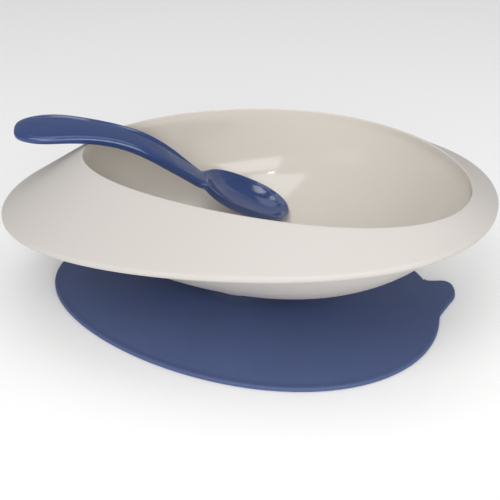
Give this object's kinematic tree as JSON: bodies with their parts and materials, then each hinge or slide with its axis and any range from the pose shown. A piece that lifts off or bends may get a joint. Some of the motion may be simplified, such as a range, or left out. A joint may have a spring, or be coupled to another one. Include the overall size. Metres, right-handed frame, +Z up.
{
  "type": "suction bowl",
  "caption": "Pebble-shaped feeding bowl with a sloping rim, on a suction pad with a pull tab, with a small spoon resting in it.",
  "frame": {"origin": "on the table under the middle of the bowl, at the centre of the bounding box's base", "axes": "+Z up, +X along the bowl's length towards its blunt end, where the pull tab is"},
  "size_m": [0.2093, 0.1466, 0.0755],
  "materials": {
    "bowl_shell": "satin outside, glossy inside",
    "pad_silicone": "matte silicone",
    "tab_silicone": "matte silicone",
    "spoon_plastic": "glossy"
  },
  "bodies": {
    "pad": {"suction_pad": "pad_silicone"},
    "shell": {"bowl": "bowl_shell"},
    "feeder": {"spoon": "spoon_plastic"},
    "tab": {"pull_tab": "tab_silicone"}
  },
  "joints": [
    {"name": "bowl_lift", "type": "slide", "parent": "pad", "child": "shell", "axis": [0, 0, 1], "range_m": [0, 0.05]},
    {"name": "spoon_lift", "type": "slide", "parent": "shell", "child": "feeder", "axis": [0, 0, 1], "range_m": [0, 0.08]},
    {"name": "tab_pull", "type": "hinge", "parent": "pad", "child": "tab", "pos_m": [0.08399, 0.0062, 0.0009], "axis": [0.2419, -0.9703, 0], "range_deg": [0, 60], "stiffness_Nm_per_rad": 0.002}
  ]
}
